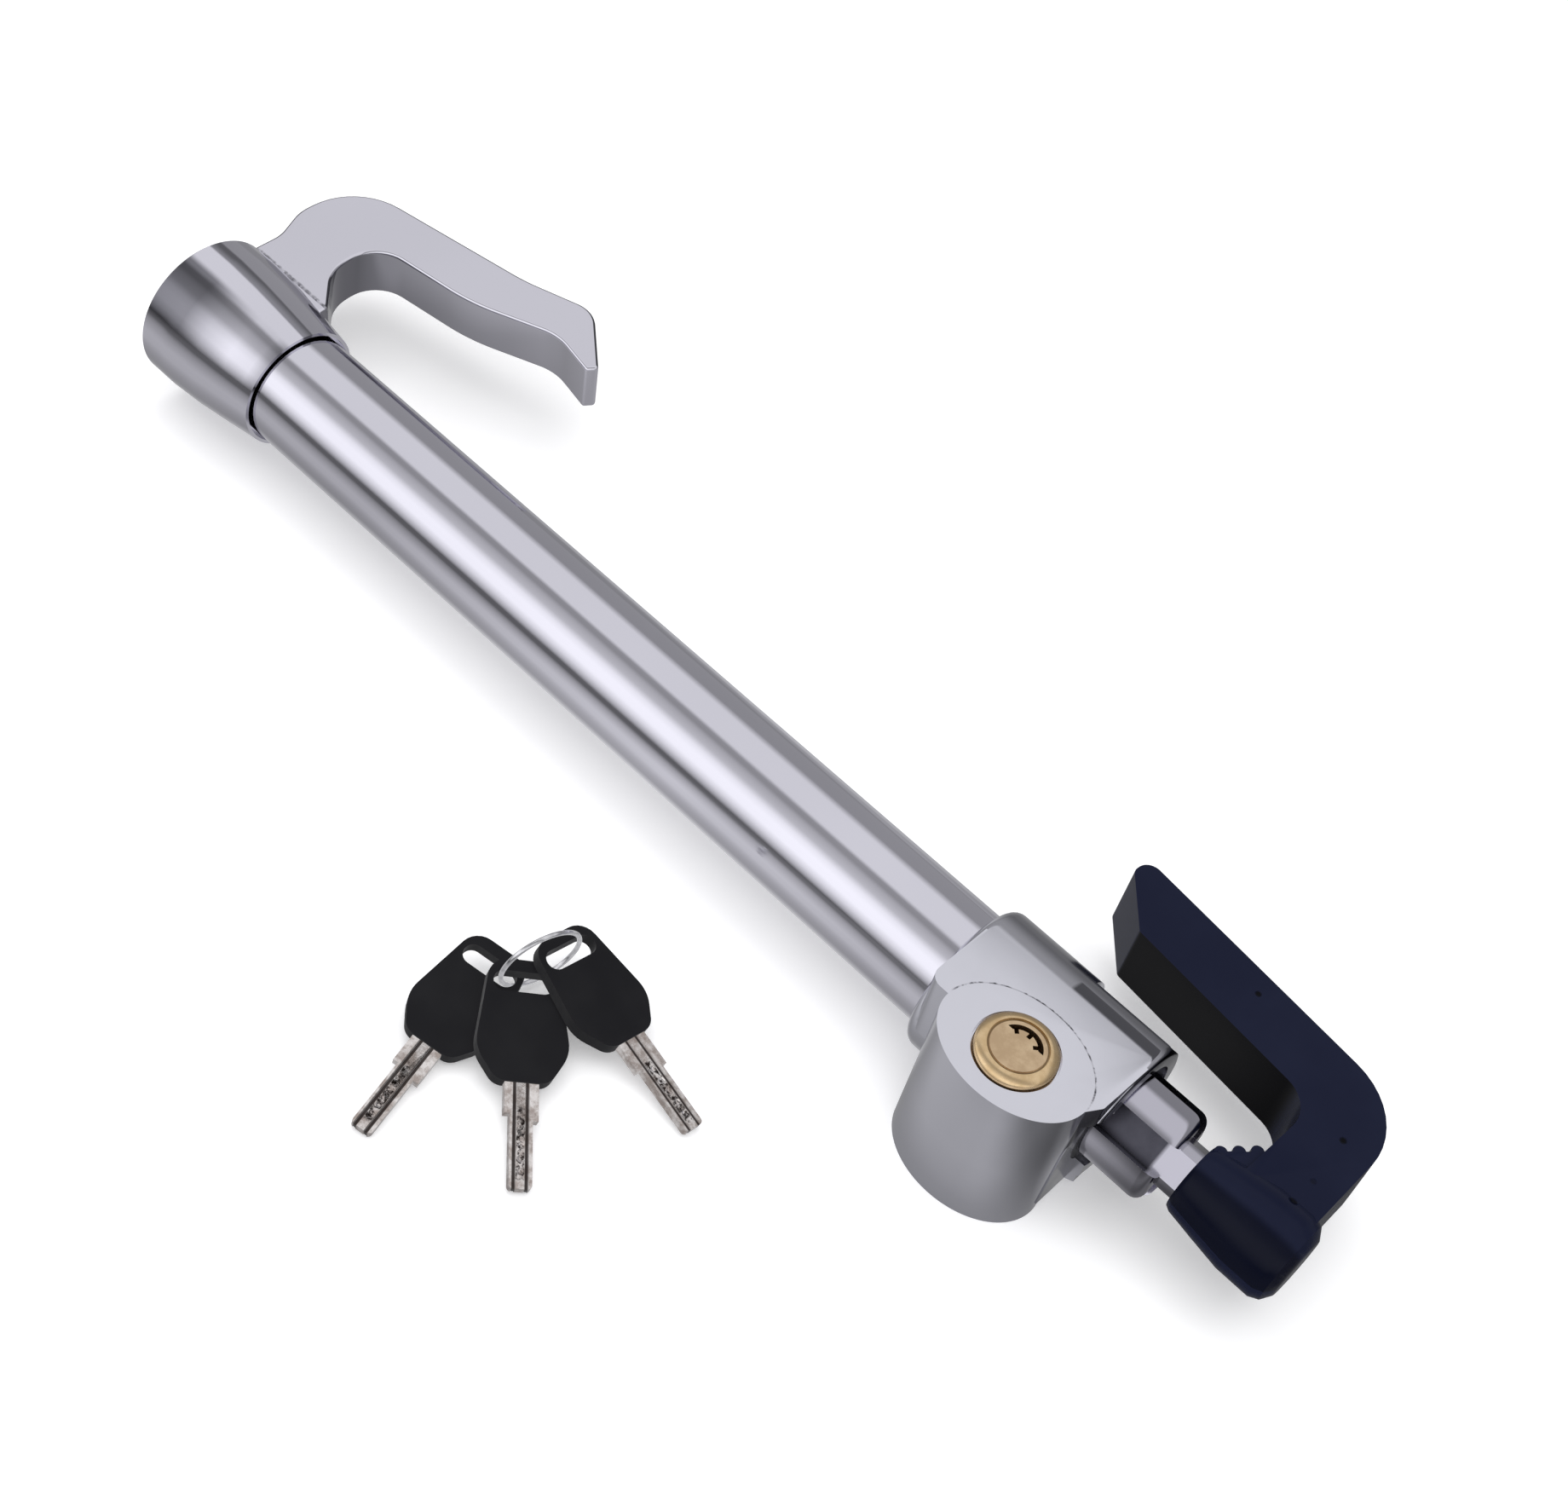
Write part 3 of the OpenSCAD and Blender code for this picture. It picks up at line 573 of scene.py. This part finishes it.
# How far each piece's edges are eased, in millimetres
eased = {"wheel_hook": 0.9, "end_cap": 0.35, "lock_head": 0.55, "hook_cover": 1.6,
         "inner_rod": 0.35, "cylinder_body": 0.12, "cylinder_plug": 0.12,
         "key_head_1": 0.7, "key_head_2": 0.7, "key_head_3": 0.7,
         "key_blade_1": 0.12, "key_blade_2": 0.12, "key_blade_3": 0.12}
for node_name, ease in eased.items():
    shown = piece_from(cleaned(node_name), "shown_" + node_name, node_name, ease * MM)
    if node_name.startswith("key_"):
        # The keys lie too near to be mirrored in the tube as cleanly as the plating shows
        shown.visible_glossy = False

# ---------------------------------------------------------------- stage


def flat_sheet(name, half, z):
    mesh = bpy.data.meshes.new(name)
    mesh.from_pydata([(-half, -half, z), (half, -half, z), (half, half, z), (-half, half, z)],
                     [], [(0, 1, 2, 3)])
    obj = bpy.data.objects.new(name, mesh)
    bpy.context.scene.collection.objects.link(obj)
    return obj


def floor_piece():
    """Pale paper under the part, left out of the plating's reflections."""
    obj = flat_sheet("floor", floor_half, floor_z)
    material, _, _, shader = surface("floor_paper", Roughness=0.6, Specular_IOR_Level=0.2)
    shader.inputs["Base Color"].default_value = (0.90, 0.90, 0.905, 1)
    shader.inputs["Emission Color"].default_value = (1, 1, 1, 1)
    shader.inputs["Emission Strength"].default_value = 0.25
    obj.data.materials.append(material)
    obj.visible_glossy = False


# What plating sees of the surface it lies on: brightness against the distance across the bar,
# in millimetres, with the strips of shade that studio flags throw beside the bar.
strips = [(-264, .20), (-205, .20), (-92, .60), (-59, .77), (-42, .74), (-32, .58), (-25, .49),
          (-19, .45), (-14, .57), (-9, .72), (0, .68), (6, .85), (12.7, 1.06), (21.7, 1.0),
          (31, .70), (54, .52), (86, .58), (133, .42)]
# Red and green of the studio's light, as a share of its blue
warmth = 0.985


def grey(value):
    return value * warmth, value * warmth, value


def reflected_floor():
    """Glowing sheet that only mirror-like rays meet, just under the floor."""
    obj = flat_sheet("reflected_floor", floor_half, floor_z - 0.5 * MM)
    material = bpy.data.materials.new("reflected_floor")
    t = Tree(material)
    out = t.add("ShaderNodeOutputMaterial")
    glow = t.add("ShaderNodeEmission")
    t.link(glow.outputs[0], out.inputs["Surface"])
    x, y, _ = axes_of(t, t.add("ShaderNodeTexCoord").outputs["Object"])
    low, high = strips[0][0], strips[-1][0]
    stops = [((place - low) / (high - low), grey(value)) for place, value in strips]
    t.link(t.ramp(t.to_range(y, low * MM, high * MM, 0, 1), stops), glow.inputs["Color"])
    brightest, at_ends, past_head = 20 * MM, 0.7, 0.35
    away = t.math("ABSOLUTE", t.math("SUBTRACT", x, brightest))
    fade = t.math("MULTIPLY", t.to_range(away, 0, 120 * MM, 1.0, at_ends),
                  t.to_range(x, 160 * MM, 190 * MM, 1.0, past_head, True))
    t.link(fade, glow.inputs["Strength"])
    obj.data.materials.append(material)
    obj.visible_camera = False
    obj.visible_diffuse = False
    obj.visible_shadow = False
    obj.visible_transmission = False


floor_piece()
reflected_floor()

# Sky seen from the bar: angle about the bar's axis from the +Y horizon, over the top, to the -Y
# horizon, and the brightness that studio panels beside the bar give at that angle.
panels = [(0, 0.35), (37, 0.34), (49, 0.84), (91, 0.84), (97, 0.36), (104, 0.34), (111, 0.52),
          (123, 0.66), (134, 1.12), (144, 1.26), (158, 1.24), (168, 0.92), (177, 0.50), (180, 0.26)]


def sky():
    """Surroundings whose brightness changes only with the angle about the bar."""
    world = bpy.data.worlds.new("studio")
    bpy.context.scene.world = world
    t = Tree(world)
    out = t.add("ShaderNodeOutputWorld")
    back = t.add("ShaderNodeBackground")
    t.link(back.outputs[0], out.inputs["Surface"])
    _, y, z = axes_of(t, t.add("ShaderNodeTexCoord").outputs["Generated"])
    share = t.to_range(t.math("ARCTAN2", z, y), 0, math.pi, 0, 1)
    stops = [(angle / 180, grey(value)) for angle, value in panels]
    t.link(t.ramp(share, stops), back.inputs["Color"])


sky()


def overhead_light():
    """Wide, weak panel above, for a soft shadow; plating doesn't reflect it."""
    data = bpy.data.lights.new("overhead", "AREA")
    data.shape = "RECTANGLE"
    data.size, data.size_y = 1.8, 1.4
    data.energy = 14.0
    lamp = bpy.data.objects.new("overhead", data)
    place, aim = Vector((0.05, -0.15, 1.5)), Vector((0.05, 0, 0))
    lamp.location = place
    lamp.rotation_euler = (aim - place).to_track_quat("-Z", "Y").to_euler()
    lamp.visible_glossy = False
    lamp.visible_camera = False
    bpy.context.scene.collection.objects.link(lamp)


overhead_light()

# ---------------------------------------------------------------- camera

view_from = Vector((249.1, -321.9, 453.9)) * MM
view_right = Vector((0.71110, 0.67754, 0.18782))
view_up = Vector((-0.61755, 0.47419, 0.62751))
lens_mm = 55.55

camera_data = bpy.data.cameras.new("camera")
camera_data.sensor_width = 36.0
camera_data.lens = lens_mm
camera_data.clip_start = 0.01
camera_data.clip_end = 20.0
camera = bpy.data.objects.new("camera", camera_data)
bpy.context.scene.collection.objects.link(camera)
view_back = view_right.cross(view_up)
turn = Matrix((view_right, view_up, view_back)).transposed().to_4x4()
camera.matrix_world = Matrix.Translation(view_from) @ turn
bpy.context.scene.camera = camera
bpy.context.scene.view_settings.view_transform = "Standard"
